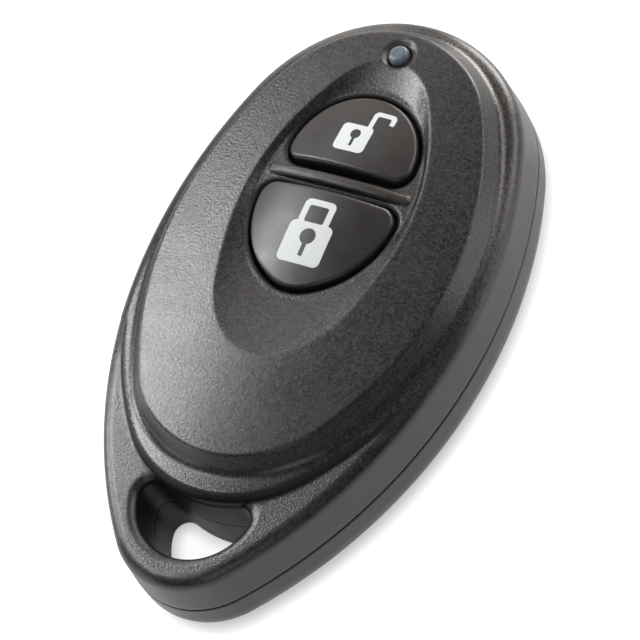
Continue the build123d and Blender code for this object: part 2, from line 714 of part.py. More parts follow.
# Radio parts: resonator can, trimmer with its slotted rotor, transistor with three leads
with BuildPart() as saw_resonator:
    with BuildSketch(Plane.XY.offset(BOARD_TOP)):
        with Locations(SAW_AT):
            RectangleRounded(SAW_LENGTH, SAW_WIDTH, SAW_CORNER)
    extrude(amount=SAW_FLANGE_H)
    with BuildSketch(Plane.XY.offset(BOARD_TOP)):
        with Locations(SAW_AT):
            RectangleRounded(SAW_LENGTH - 2 * SAW_FLANGE, SAW_WIDTH - 2 * SAW_FLANGE, SAW_CORNER)
    extrude(amount=SAW_H)
    chamfer(saw_resonator.edges().group_by(Axis.Z)[-1], SAW_FLANGE / 2)
finish(saw_resonator, "saw_resonator")

with BuildPart() as trimmer_base:
    with BuildSketch(Plane.XY.offset(BOARD_TOP)):
        with Locations(TRIMMER_AT):
            Rectangle(TRIMMER_WIDTH, TRIMMER_LENGTH)
    extrude(amount=TRIMMER_H)
finish(trimmer_base, "trimmer_base")

with BuildPart() as trimmer_rotor:
    with BuildSketch(Plane.XY.offset(BOARD_TOP + TRIMMER_H)):
        with Locations(TRIMMER_AT):
            Circle(TRIMMER_WIDTH / 2 - TRIMMER_SLOT / 2)
            Rectangle(TRIMMER_SLOT, TRIMMER_WIDTH, rotation=TRIMMER_TURN, mode=Mode.SUBTRACT)
    extrude(amount=TRIMMER_SLOT)
    with BuildSketch(Plane.XY.offset(BOARD_TOP + TRIMMER_H)):
        with Locations(TRIMMER_AT):
            Circle(TRIMMER_WIDTH / 2 - TRIMMER_SLOT / 2)
    extrude(amount=TRIMMER_SLOT / 3)
finish(trimmer_rotor, "trimmer_rotor")

with BuildPart() as transistor:
    with BuildSketch(Plane.XY.offset(BOARD_TOP + CHIP_LEAD_T)):
        with Locations(TRANSISTOR_AT):
            Rectangle(TRANSISTOR_WIDTH, TRANSISTOR_LENGTH)
    extrude(amount=TRANSISTOR_H)
finish(transistor, "transistor")

with BuildPart() as transistor_leads:
    with BuildSketch(Plane.XY.offset(BOARD_TOP)):
        with Locations(TRANSISTOR_AT):
            with Locations(
                (TRANSISTOR_WIDTH / 2, 0),
                (-TRANSISTOR_WIDTH / 2, TRANSISTOR_LENGTH / 3),
                (-TRANSISTOR_WIDTH / 2, -TRANSISTOR_LENGTH / 3),
            ):
                Rectangle(TRANSISTOR_LEAD, CHIP_LEAD_WIDTH)
    extrude(amount=CHIP_LEAD_T)
finish(transistor_leads, "transistor_leads")

# Chip resistors and capacitors, with metal ends
for name, places, length, width, height in (
    ("resistors", RESISTORS, RESISTOR_LENGTH, RESISTOR_WIDTH, RESISTOR_H),
    ("capacitors", CAPACITORS, CAPACITOR_LENGTH, CAPACITOR_WIDTH, CAPACITOR_H),
):
    with BuildPart() as bodies:
        with BuildSketch(Plane.XY.offset(BOARD_TOP)):
            with Locations(*places):
                Rectangle(width, length - 2 * CHIP_END)
        extrude(amount=height)
    finish(bodies, name)

    with BuildPart() as ends:
        with BuildSketch(Plane.XY.offset(BOARD_TOP)):
            with Locations(*places):
                with GridLocations(0, length - CHIP_END, 1, 2):
                    Rectangle(width, CHIP_END)
        extrude(amount=height)
    finish(ends, f"{name[:-1]}_ends")

# Coin cell: can below, cap above, seal between
CELL_Z = FLOOR + CLIP_T
with BuildPart() as cell_can:
    with BuildSketch(Plane.XY.offset(CELL_Z)):
        with Locations((0, CELL_Y)):
            Circle(CELL_R)
    extrude(amount=CELL_H - CAN_DROP)
    chamfer(cell_can.edges().group_by(Axis.Z)[0], CAN_WALL / 2)
    with BuildSketch(Plane.XY.offset(CELL_Z + CAN_WALL)):
        with Locations((0, CELL_Y)):
            Circle(CELL_R - CAN_WALL)
    extrude(amount=CELL_H, mode=Mode.SUBTRACT)
finish(cell_can, "cell_can")

with BuildPart() as cell_seal:
    with BuildSketch(Plane.XY.offset(CELL_Z + CAN_WALL)):
        with Locations((0, CELL_Y)):
            Circle(CELL_R - CAN_WALL)
            Circle(CELL_R - CAN_WALL - SEAL_WIDTH, mode=Mode.SUBTRACT)
    extrude(amount=CELL_H - CAN_DROP - CAN_WALL)
finish(cell_seal, "cell_seal")

with BuildPart() as cell_cap:
    with BuildSketch(Plane.XY.offset(CELL_Z + CAN_WALL)):
        with Locations((0, CELL_Y)):
            Circle(CELL_R - CAN_WALL - SEAL_WIDTH)
    extrude(amount=CELL_H - CAN_WALL)
    chamfer(cell_cap.edges().group_by(Axis.Z)[-1], CAN_WALL / 2)
finish(cell_cap, "cell_cap")

# Positive clip: a strap under the can with an arm up to the board at each side
ARM_X = CELL_R + CLIP_GAP
with BuildPart() as positive_clip:
    with BuildSketch(Plane.XY.offset(FLOOR)):
        with Locations((0, CELL_Y)):
            Rectangle(2 * (ARM_X + CLIP_T), CLIP_WIDTH)
    extrude(amount=CLIP_T)
    with BuildSketch(Plane.XY.offset(FLOOR)):
        with Locations((-ARM_X - CLIP_T / 2, CELL_Y), (ARM_X + CLIP_T / 2, CELL_Y)):
            Rectangle(CLIP_T, CLIP_WIDTH)
    extrude(amount=BOARD_Z - FLOOR)
    with BuildSketch(Plane.XY.offset(BOARD_Z - CLIP_T)):
        with Locations((-ARM_X - CLIP_FOOT / 2, CELL_Y), (ARM_X + CLIP_FOOT / 2, CELL_Y)):
            Rectangle(CLIP_FOOT, CLIP_WIDTH)
    extrude(amount=CLIP_T)
finish(positive_clip, "positive_clip")

# Negative spring: a leaf soldered under the board that bears on the cap
CELL_TOP = CELL_Z + CELL_H
with BuildPart() as negative_spring:
    with BuildSketch(Plane.XZ.offset(-CELL_Y)):
        with BuildLine():
            Polyline(
                (-SPRING_FOOT, BOARD_Z),
                (-SPRING_FOOT, BOARD_Z - SPRING_T),
                (0, BOARD_Z - SPRING_T),
                (SPRING_REACH, CELL_TOP),
                (SPRING_REACH + SPRING_FOOT / 2, CELL_TOP),
                (SPRING_REACH + SPRING_FOOT / 2, CELL_TOP + SPRING_T),
                (SPRING_REACH, CELL_TOP + SPRING_T),
                (0, BOARD_Z),
                close=True,
            )
        make_face()
    extrude(amount=SPRING_WIDTH / 2, both=True)
finish(negative_spring, "negative_spring")
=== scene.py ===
import json
import math

import bmesh
import bpy
from mathutils import Matrix, Vector


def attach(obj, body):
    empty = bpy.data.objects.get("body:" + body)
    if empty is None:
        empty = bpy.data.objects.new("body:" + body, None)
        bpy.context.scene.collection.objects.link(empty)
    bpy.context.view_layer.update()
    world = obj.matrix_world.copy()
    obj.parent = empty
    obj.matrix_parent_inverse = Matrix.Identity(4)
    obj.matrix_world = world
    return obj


# A two-button radio key fob, dressed over its fixed frame.
# Sizes are millimetres, as on the drawing, and MM turns them into Blender's metres.
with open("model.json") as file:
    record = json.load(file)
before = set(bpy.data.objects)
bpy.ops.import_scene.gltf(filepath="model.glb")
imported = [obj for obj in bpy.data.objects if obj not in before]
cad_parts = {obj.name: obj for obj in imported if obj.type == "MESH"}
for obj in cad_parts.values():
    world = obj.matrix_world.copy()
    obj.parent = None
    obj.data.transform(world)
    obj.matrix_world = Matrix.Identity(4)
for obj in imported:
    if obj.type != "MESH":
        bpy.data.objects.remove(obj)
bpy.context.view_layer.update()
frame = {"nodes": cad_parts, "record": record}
MM = 0.001

# Case sizes that the looks follow. An egg is (top, bottom, half width, top radius, bottom radius)
BODY = (31.0, -31.0, 18.15, 16.1, 8.2)
STEP = (33.0, -21.9, 18.9, 15.7, 12.75)
RECESS_FLOOR = (21.9, -1.4, 8.2, 6.5, 6.6)
PART_Z = 5.0
LOOP_Z = 9.6
RECESS_Z = 11.75
BACK_EDGE_Z = 0.3
SHOULDER_REACH = 1.45
STEP_EDGE = 0.9
STEP_END_Y = -6.65
HOLE_Y = -21.7
HOLE_REACH = 6.95
HOLE_EDGE = 0.5
LIGHT_Y = 25.6
LIGHT_SINK_R = 1.76
DIVIDER_Y = 11.25
DIVIDER_HALF_LENGTH = 7.85
DIVIDER_HALF_WIDTH = 0.62

# The keys' tops share one crown: an arc across the case, swung along a larger one
KEY_TOP = 13.0
KEY_CROWN_ACROSS = 27.0
KEY_CROWN_ALONG = 66.0
KEY_CROWN_Y = 10.0


def egg_distance(egg, x, y):
    """How far a point lies outside an egg outline; negative inside."""
    top, bottom, half_width, top_r, bottom_r = egg
    top_y, bottom_y = top - top_r, bottom + bottom_r
    span = top_y - bottom_y
    lean = (top_r - bottom_r) / span
    rest = (top_y**2 - bottom_y**2 - top_r**2 + bottom_r**2) / (2 * span)
    # The side arc's radius solves a quadratic equation: it touches both end arcs and the half width
    a = lean**2
    b = 2 * (top_r + lean * (rest - top_y) - half_width)
    c = half_width**2 + (rest - top_y) ** 2 - top_r**2
    side_r = 2 * c / (-b + math.sqrt(b * b - 4 * a * c))
    side = Vector((half_width - side_r, rest + lean * side_r))
    point = Vector((abs(x), y))
    to_top = Vector((0, top_y)) - side
    to_bottom = Vector((0, bottom_y)) - side
    away = point - side
    if to_top.x * away.y - to_top.y * away.x > 0:
        return (point - Vector((0, top_y))).length - top_r
    if to_bottom.x * away.y - to_bottom.y * away.x < 0:
        return (point - Vector((0, bottom_y))).length - bottom_r
    return away.length - side_r


# Shader building blocks

# The range that most noise values lie in
NOISE_LOW = 0.3
NOISE_HIGH = 0.7
BEVEL_SAMPLES = 6


def new_material(name, color, roughness, metallic=0.0):
    """A principled material with its constants set on the shader itself."""
    material = bpy.data.materials.new(name)
    material.use_nodes = True
    shader = material.node_tree.nodes["Principled BSDF"]
    shader.inputs["Base Color"].default_value = (*color, 1.0)
    shader.inputs["Roughness"].default_value = roughness
    shader.inputs["Metallic"].default_value = metallic
    return material, material.node_tree, shader


def object_coordinates(tree):
    """Coordinates that stay with the piece."""
    return tree.nodes.new("ShaderNodeTexCoord").outputs["Object"]


def noise(tree, size_mm, detail=2.0, roughness=0.55, stretch=(1, 1, 1)):
    """Noise with features about size_mm across, fixed to the piece."""
    mapping = tree.nodes.new("ShaderNodeMapping")
    mapping.inputs["Scale"].default_value = stretch
    tree.links.new(object_coordinates(tree), mapping.inputs["Vector"])
    texture = tree.nodes.new("ShaderNodeTexNoise")
    texture.inputs["Scale"].default_value = 1 / (size_mm * MM)
    texture.inputs["Detail"].default_value = detail
    texture.inputs["Roughness"].default_value = roughness
    tree.links.new(mapping.outputs["Vector"], texture.inputs["Vector"])
    return texture.outputs["Fac"]


def ramp(tree, source, low, high, from_low=NOISE_LOW, from_high=NOISE_HIGH):
    """Maps source from one range of values to another."""
    node = tree.nodes.new("ShaderNodeMapRange")
    node.inputs["From Min"].default_value = from_low
    node.inputs["From Max"].default_value = from_high
    node.inputs["To Min"].default_value = low
    node.inputs["To Max"].default_value = high
    tree.links.new(source, node.inputs["Value"])
    return node.outputs["Result"]


def calculate(tree, operation, first, second):
    """A math node on first and second, which may be a plain number."""
    node = tree.nodes.new("ShaderNodeMath")
    node.operation = operation
    tree.links.new(first, node.inputs[0])
    if isinstance(second, float):
        node.inputs[1].default_value = second
    else:
        tree.links.new(second, node.inputs[1])
    return node.outputs[0]


def mix_color(tree, factor, first, second):
    """The first colour where factor is 0, and the second where it is 1."""
    node = tree.nodes.new("ShaderNodeMix")
    node.data_type = "RGBA"
    node.inputs["A"].default_value = (*first, 1.0)
    node.inputs["B"].default_value = (*second, 1.0)
    tree.links.new(factor, node.inputs["Factor"])
    return node.outputs["Result"]


def tint(tree, shader, factor, colors):
    """Colours the shader from the first of colors where factor is 0 to the second where it is 1."""
    tree.links.new(mix_color(tree, factor, *colors), shader.inputs["Base Color"])


def vary_sheen(tree, shader, source, low, high):
    """Lets the shader's roughness follow source, from low to high."""
    tree.links.new(ramp(tree, source, low, high), shader.inputs["Roughness"])


def bump(tree, shader, heights, round_mm=0.0):
    """Stacks (source, depth in mm) bumps on the shader, over edges softened by round_mm."""
    last = None
    if round_mm:
        soft = tree.nodes.new("ShaderNodeBevel")
        soft.samples = BEVEL_SAMPLES
        soft.inputs["Radius"].default_value = round_mm * MM
        last = soft.outputs["Normal"]
    for source, depth_mm in heights:
        node = tree.nodes.new("ShaderNodeBump")
        node.inputs["Strength"].default_value = 1.0
        node.inputs["Distance"].default_value = depth_mm * MM
        tree.links.new(source, node.inputs["Height"])
        if last is not None:
            tree.links.new(last, node.inputs["Normal"])
        last = node.outputs["Normal"]
    tree.links.new(last, shader.inputs["Normal"])


# Case and keys

# Each pair is the darkest and the lightest tone of one finish
# A random tone for each grain, whose wide spread to light specks also paints in the grain's sparkle as
# painted glints
GRAIN_AND_GLINT_COLORS = ((0.003, 0.0024, 0.002), (0.038, 0.0354, 0.0342))
SATIN_COLORS = ((0.012, 0.0098, 0.0085), (0.021, 0.0175, 0.0155))
# Lighter than the same plastic on the ridge: painted light and painted reflection that the sides catch
# from the right and from the floor
PAINTED_LIGHT_SIDE_COLORS = ((0.033, 0.0275, 0.024), (0.04, 0.0335, 0.0295))
# Darker tones of the same smooth plastic: painted shade for hollows, the hole's wall, the step's edge and
# faces that look down
PAINTED_SHADE_COLORS = ((0.01, 0.008, 0.007), (0.017, 0.0138, 0.012))
KEY_COLORS = ((0.015, 0.013, 0.012), (0.026, 0.0235, 0.022))
PRINT_COLORS = ((0.63, 0.67, 0.69), (0.69, 0.73, 0.75))
PIPE_COLORS = ((0.22, 0.27, 0.33), (0.3, 0.35, 0.42))

# Size of the grain, of the finest unevenness elsewhere, and of the wider patches, waves and streaks
GRAIN_SIZE = 0.2
FINE_SIZE = 0.2
PRINT_GRAIN_SIZE = 0.12
PATCH_SIZE = 6.0
WAVE_SIZE = 3.5
KEY_WAVE_SIZE = 2.4
STREAK_SIZE = 1.6
PIPE_CLOUD_SIZE = 0.6

# Their depths
GRAIN_DEPTH = 0.02
WAVE_DEPTH = 0.006
FINE_DEPTH = 0.002
STREAK_DEPTH = 0.05
KEY_DEPTH = 0.004
PRINT_DEPTH = 0.003
PIPE_DEPTH = 0.004

# How widely edges are softened
SOFT_EDGE = 0.45
SOFT_RIM = 0.9

# How far a face may tilt before the grain runs out, as the height of its normal
RUN_OUT_LOW = 0.45
RUN_OUT_HIGH = 0.6


def faces_up(tree):
    """1 on faces that look up, fading to 0 round the edges towards the sides."""
    split = tree.nodes.new("ShaderNodeSeparateXYZ")
    tree.links.new(tree.nodes.new("ShaderNodeTexCoord").outputs["Normal"], split.inputs["Vector"])
    return ramp(tree, split.outputs["Z"], 0, 1, RUN_OUT_LOW, RUN_OUT_HIGH)


def grains(tree, size_mm):
    """A random value from 0 to 1 for each grain of about size_mm."""
    cells = tree.nodes.new("ShaderNodeTexVoronoi")
    cells.inputs["Scale"].default_value = 1 / (size_mm * MM)
    tree.links.new(object_coordinates(tree), cells.inputs["Vector"])
    split = tree.nodes.new("ShaderNodeSeparateColor")
    tree.links.new(cells.outputs["Color"], split.inputs["Color"])
    return split.outputs["Red"]


def grained_plastic(name, roughness, round_mm, runs_out=False):
    """Black plastic with a fine spark-eroded grain, which may run out over rounded edges."""
    material, tree, shader = new_material(name, GRAIN_AND_GLINT_COLORS[0], roughness)
    shader.inputs["Specular IOR Level"].default_value = 0.7
    height = noise(tree, GRAIN_SIZE, detail=1.0, roughness=0.6)
    if runs_out:
        height = calculate(tree, "MULTIPLY", height, faces_up(tree))
    bump(tree, shader, [(height, GRAIN_DEPTH)], round_mm)
    vary_sheen(tree, shader, noise(tree, PATCH_SIZE), roughness - 0.02, roughness + 0.02)
    # Each grain's random tone; its light specks are partly painted glints
    tint(tree, shader, grains(tree, GRAIN_SIZE), GRAIN_AND_GLINT_COLORS)
    return material


def satin_plastic(name, colors, roughness, gloss):
    """The same plastic where the mould is smooth, with its level of specular reflection as gloss."""
    material, tree, shader = new_material(name, colors[0], roughness)
    shader.inputs["Specular IOR Level"].default_value = gloss
    fine = noise(tree, FINE_SIZE)
    wave = noise(tree, WAVE_SIZE)
    bump(tree, shader, [(wave, WAVE_DEPTH), (fine, FINE_DEPTH)], SOFT_EDGE)
    vary_sheen(tree, shader, wave, roughness - 0.03, roughness + 0.04)
    tint(tree, shader, ramp(tree, fine, 0, 1), colors)
    return material


def ridge_plastic():
    """The divider's plastic, faintly streaked along its length."""
    material, tree, shader = new_material("ridge_black_plastic", SATIN_COLORS[0], roughness=0.34)
    shader.inputs["Specular IOR Level"].default_value = 0.6
    streak = noise(tree, STREAK_SIZE, stretch=(1, 9, 4))
    bump(tree, shader, [(streak, STREAK_DEPTH)], SOFT_EDGE)
    vary_sheen(tree, shader, streak, 0.28, 0.42)
    tint(tree, shader, ramp(tree, streak, 0, 1), SATIN_COLORS)
    return material


def key_rubber():
    """Silicone: soft, dark and slightly warm."""
    material, tree, shader = new_material("key_silicone", KEY_COLORS[0], roughness=0.34)
    shader.inputs["Specular IOR Level"].default_value = 0.6
    fine = noise(tree, FINE_SIZE, detail=1.0)
    wave = noise(tree, KEY_WAVE_SIZE)
    bump(tree, shader, [(wave, KEY_DEPTH), (fine, KEY_DEPTH)])
    vary_sheen(tree, shader, wave, 0.31, 0.38)
    tint(tree, shader, ramp(tree, fine, 0, 1), KEY_COLORS)
    return material


def printed_white():
    """The print of the padlock signs, a little uneven."""
    material, tree, shader = new_material("printed_white", PRINT_COLORS[0], roughness=0.5)
    fine = noise(tree, PRINT_GRAIN_SIZE)
    bump(tree, shader, [(fine, PRINT_DEPTH)])
    tint(tree, shader, ramp(tree, fine, 0, 1), PRINT_COLORS)
    return material


def light_pipe():
    """Smoky clear plastic of the indicator light."""
    material, tree, shader = new_material("light_pipe", PIPE_COLORS[0], roughness=0.22)
    shader.inputs["Transmission Weight"].default_value = 0.55
    shader.inputs["IOR"].default_value = 1.49
    cloud = noise(tree, PIPE_CLOUD_SIZE)
    bump(tree, shader, [(cloud, PIPE_DEPTH)])
    tint(tree, shader, ramp(tree, cloud, 0, 1), PIPE_COLORS)
    return material


# Inside pieces

MASK_COLORS = ((0.012, 0.09, 0.04), (0.03, 0.2, 0.08))

# The copper areas under the board's mask: their size, where their edges start and end as parts of it,
# and their height
COPPER_AREA = 2.2
EDGE_START = 0.42
EDGE_END = 0.5
COPPER_HEIGHT = 0.02

# Unevenness of the mask
MASK_SIZE = 0.3
MASK_DEPTH = 0.003


def speckled(name, first, second, roughness, grain_mm, depth_mm, metallic=0.0, stretch=(1, 1, 1)):
    """A material between two colours, whose roughness and surface follow the same noise."""
    material, tree, shader = new_material(name, first, roughness, metallic)
    fine = noise(tree, grain_mm, detail=3.0, stretch=stretch)
    bump(tree, shader, [(fine, depth_mm)])
    tint(tree, shader, ramp(tree, fine, 0, 1), (first, second))
    vary_sheen(tree, shader, fine, roughness * 0.8, roughness * 1.2)
    return material


def board_mask():
    """Green solder mask over faint copper areas."""
    material, tree, shader = new_material("solder_mask", MASK_COLORS[0], roughness=0.3)
    cells = tree.nodes.new("ShaderNodeTexVoronoi")
    cells.distance = "MANHATTAN"
    cells.inputs["Scale"].default_value = 1 / (COPPER_AREA * MM)
    tree.links.new(object_coordinates(tree), cells.inputs["Vector"])
    copper = ramp(tree, cells.outputs["Distance"], 1, 0, EDGE_START, EDGE_END)
    tint(tree, shader, copper, MASK_COLORS)
    bump(tree, shader, [(copper, COPPER_HEIGHT), (noise(tree, MASK_SIZE), MASK_DEPTH)])
    return material


GRAIN = grained_plastic("grained_black_plastic", roughness=0.26, round_mm=SOFT_EDGE)
EDGE = grained_plastic("grain_run_out", roughness=0.28, round_mm=SOFT_RIM, runs_out=True)
# The smooth plastic's tone is lightened here: painted light on the sides and the back shell
SATIN = satin_plastic("satin_black_plastic_painted_light", PAINTED_LIGHT_SIDE_COLORS, roughness=0.35, gloss=0.75)
# The darker copy of the satin plastic is painted shade
PAINTED_SHADE = satin_plastic("painted_shade_black_plastic", PAINTED_SHADE_COLORS, roughness=0.48, gloss=0.3)
RIDGE = ridge_plastic()
KEY = key_rubber()
WHITE = printed_white()
PIPE = light_pipe()
BOARD = board_mask()

# Name, darkest and lightest colour, roughness, size and depth of the specks, 1.0 for metal, stretch
MAT = speckled("mat_silicone", (0.03, 0.028, 0.027), (0.045, 0.042, 0.04), 0.62, 0.2, 0.006)
COPPER = speckled("copper", (0.72, 0.36, 0.2), (0.8, 0.46, 0.28), 0.32, 0.3, 0.002, 1.0)
MOULD = speckled("black_moulding", (0.015, 0.015, 0.016), (0.028, 0.028, 0.03), 0.5, 0.12, 0.006)
IVORY = speckled("ivory_moulding", (0.7, 0.67, 0.58), (0.78, 0.75, 0.67), 0.42, 0.3, 0.004)
STRIP = speckled("spring_strip", (0.55, 0.54, 0.51), (0.66, 0.65, 0.62), 0.3, 0.2, 0.002, 1.0, (1, 8, 1))
TIN = speckled("tinned_metal", (0.66, 0.66, 0.66), (0.78, 0.78, 0.77), 0.34, 0.18, 0.004, 1.0)
CELL = speckled("drawn_steel", (0.58, 0.58, 0.57), (0.68, 0.68, 0.67), 0.24, 0.25, 0.0015, 1.0, (1, 10, 1))
SCREW = speckled("zinc_steel", (0.5, 0.5, 0.52), (0.62, 0.62, 0.63), 0.3, 0.15, 0.003, 1.0)
CAN = speckled("plated_can", (0.7, 0.64, 0.5), (0.78, 0.73, 0.6), 0.27, 0.3, 0.002, 1.0)
BRASS = speckled("brass", (0.7, 0.5, 0.2), (0.8, 0.6, 0.3), 0.3, 0.2, 0.003, 1.0)
CERAMIC = speckled("white_ceramic", (0.72, 0.72, 0.68), (0.82, 0.82, 0.79), 0.4, 0.15, 0.005)
TAN = speckled("tan_ceramic", (0.44, 0.32, 0.19), (0.54, 0.41, 0.27), 0.45, 0.12, 0.005)
LAMP = speckled("lamp_body", (0.78, 0.76, 0.66), (0.86, 0.84, 0.76), 0.3, 0.2, 0.003)
NYLON = speckled("seal_nylon", (0.09, 0.09, 0.09), (0.14, 0.14, 0.14), 0.5, 0.2, 0.004)

# The material of each slot in the part's record
BY_SLOT = {
    "case_front": GRAIN,
    "case_rear": SATIN,
    "screw_steel": SCREW,
    "key_rubber": KEY,
    "mat_rubber": MAT,
    "board": BOARD,
    "copper": COPPER,
    "switch_housing": MOULD,
    "switch_plunger": IVORY,
    "spring_steel": STRIP,
    "tinned_leads": TIN,
    "light_pipe": PIPE,
    "lamp_body": LAMP,
    "chip_mould": MOULD,
    "can_steel": CAN,
    "ceramic_white": CERAMIC,
    "rotor_brass": BRASS,
    "resistor_black": MOULD,
    "ceramic_tan": TAN,
    "cell_steel": CELL,
    "cell_seal": NYLON,
}


def dress(node, *materials, pick=None):
    """Gives a frame node its materials. pick returns the number of a face's material."""
    mesh = frame["nodes"][node].data
    mesh.materials.clear()
    for material in materials:
        mesh.materials.append(material)
    if pick:
        for face in mesh.polygons:
            face.material_index = pick(face.center / MM, face.normal)


# The upward part of a face's normal: over FLAT on flat faces, under WALL in the key-ring hole,
# over SHOULDER on the case's shoulder, under UNDERSIDE on faces that look down
FLAT = 0.97
WALL = 0.5
SHOULDER = 0.4
UNDERSIDE = -0.05

# How far over the loop's top its finish reaches, how far over the recess the divider's starts,
# and how far under the recess the key openings' starts
LOOP_SLACK = 0.05
DIVIDER_FOOT = 0.01
OPENING_EDGE = 0.002


def distance_to(x, y, centre_y):
    """Distance from a point to one on the case's middle line."""
    return math.hypot(x, y - centre_y)


def in_hole(centre, normal):
    """Whether a face belongs to the key-ring hole's wall."""
    return distance_to(centre.x, centre.y, HOLE_Y) < HOLE_REACH - HOLE_EDGE and abs(normal.z) < WALL


def front_finish(centre, normal):
    """0 grained, 1 smooth, 2 where the grain runs out, 3 painted shade, a darker copy of the smooth
    plastic in hollows, on the step's edge and on faces that look down, 4 the divider.
    """
    x, y, z = centre
    # Faces given 3 take the darker copy of the plastic: painted shade
    if in_hole(centre, normal):
        return 3
    if egg_distance(BODY, x, y) > -SHOULDER_REACH:
        return 2 if normal.z > SHOULDER else 1
    if z < LOOP_Z + LOOP_SLACK and distance_to(x, y, HOLE_Y) < HOLE_REACH:
        return 2
    in_step_edge = -STEP_EDGE < egg_distance(STEP, x, y) < 0
    if in_step_edge and y < STEP_END_Y and normal.z < FLAT:
        return 3
    if z < RECESS_Z - OPENING_EDGE and egg_distance(RECESS_FLOOR, x, y) < 0:
        return 3
    if normal.z < UNDERSIDE:
        return 3
    on_divider = abs(x) < DIVIDER_HALF_LENGTH and abs(y - DIVIDER_Y) < DIVIDER_HALF_WIDTH
    if on_divider and z > RECESS_Z + DIVIDER_FOOT:
        return 4
    return int(distance_to(x, y, LIGHT_Y) < LIGHT_SINK_R)


def rear_finish(centre, normal):
    """0 smooth, 1 grained on the flat of the back, 2 the key-ring hole's wall, a darker copy as painted
    shade.
    """
    if normal.z < -FLAT and centre.z < BACK_EDGE_Z:
        return 1
    return 2 if in_hole(centre, normal) else 0


for part in frame["record"]["subparts"]:
    dress(part["node"], BY_SLOT[part["material_slot"]])
dress("front_shell", GRAIN, SATIN, EDGE, PAINTED_SHADE, RIDGE, pick=front_finish)
dress("rear_shell", SATIN, GRAIN, PAINTED_SHADE, pick=rear_finish)


# Padlock signs printed on the keys

# The print's height over the keys, the cells that let it follow their crown, and its welding distance
PRINT_LIFT = 0.012
PRINT_CELL = 0.5
PRINT_COLUMNS = range(-10, 11)
PRINT_ROWS = range(-4, 50)
PRINT_WELD = 1e-4

# Steps round a corner and a keyhole, and the corners inside a shackle and at its open end
CORNER_STEPS = 6
RING_STEPS = 24
BOW_CORNER = 0.2
BOW_END_CORNER = 0.12


def crown_height(x, y):
    """Height of the keys' common crown over a point."""
    reach = KEY_CROWN_ALONG - KEY_CROWN_ACROSS + math.sqrt(KEY_CROWN_ACROSS**2 - x**2)
    return KEY_TOP - KEY_CROWN_ALONG + math.sqrt(reach**2 - (y - KEY_CROWN_Y) ** 2)


def rounded(points, radius):
    """A closed outline with its corners rounded. A point may carry its own radius as a third value."""
    out = []
    count = len(points)
    for i, point in enumerate(points):
        here = Vector(point[:2])
        before = (Vector(points[i - 1][:2]) - here).normalized()
        after = (Vector(points[(i + 1) % count][:2]) - here).normalized()
        r = point[2] if len(point) > 2 else radius
        half = before.angle(after) / 2
        if r <= 0:
            out.append(here)
            continue
        cut = r / math.tan(half)
        start, end = here + before * cut, here + after * cut
        centre = here + (before + after).normalized() * (r / math.sin(half))
        first = math.atan2(*(start - centre).yx)
        turn = math.atan2(*(end - centre).yx) - first
        turn = (turn + math.pi) % (2 * math.pi) - math.pi
        for k in range(CORNER_STEPS + 1):
            angle = first + turn * k / CORNER_STEPS
            out.append(centre + Vector((math.cos(angle), math.sin(angle))) * r)
    return out


def printed_sign(name, outlines, body):
    """A thin print over the key's crown, filled between its outlines."""
    curve = bpy.data.curves.new(name, "CURVE")
    curve.dimensions = "2D"
    curve.fill_mode = "BOTH"
    for outline in outlines:
        spline = curve.splines.new("POLY")
        spline.points.add(len(outline) - 1)
        for point, place in zip(spline.points, outline):
            point.co = (place.x, place.y, 0, 1)
        spline.use_cyclic_u = True
    holder = bpy.data.objects.new(name + "_outline", curve)
    mesh = bpy.data.meshes.new_from_object(holder)
    bpy.data.objects.remove(holder)
    work = bmesh.new()
    work.from_mesh(mesh)
    bmesh.ops.remove_doubles(work, verts=work.verts, dist=PRINT_WELD)
    for axis, cells in ((Vector((1, 0, 0)), PRINT_COLUMNS), (Vector((0, 1, 0)), PRINT_ROWS)):
        for cell in cells:
            everything = work.verts[:] + work.edges[:] + work.faces[:]
            bmesh.ops.bisect_plane(work, geom=everything, plane_co=axis * cell * PRINT_CELL, plane_no=axis)
    for vert in work.verts:
        vert.co.z = crown_height(vert.co.x, vert.co.y) + PRINT_LIFT
    top = work.faces[:]
    bmesh.ops.recalc_face_normals(work, faces=top)
    if sum(face.normal.z for face in top) < 0:
        bmesh.ops.reverse_faces(work, faces=top)
    edge = [e for e in work.edges if e.is_boundary]
    skirt = bmesh.ops.extrude_edge_only(work, edges=edge)["geom"]
    for vert in (v for v in skirt if isinstance(v, bmesh.types.BMVert)):
        vert.co.z -= 2 * PRINT_LIFT
    bmesh.ops.scale(work, vec=(MM, MM, MM), verts=work.verts)
    work.to_mesh(mesh)
    work.free()
    mesh.name = name
    mesh.materials.clear()
    mesh.materials.append(WHITE)
    sign = bpy.data.objects.new(name, mesh)
    bpy.context.scene.collection.objects.link(sign)
    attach(sign, body)


def keyhole(x, y, radius, slot_width, slot_end):
    """A round hole with a slot below it, as one outline."""
    half = slot_width / 2
    drop = math.sqrt(radius**2 - half**2)
    start = math.atan2(-drop, half)
    turn = 2 * math.pi - 2 * (start + math.pi / 2)
    angles = [start + turn * k / RING_STEPS for k in range(RING_STEPS + 1)]
    ring = [Vector((x + radius * math.cos(angle), y + radius * math.sin(angle))) for angle in angles]
    return ring + [Vector((x - half, slot_end)), Vector((x + half, slot_end))]


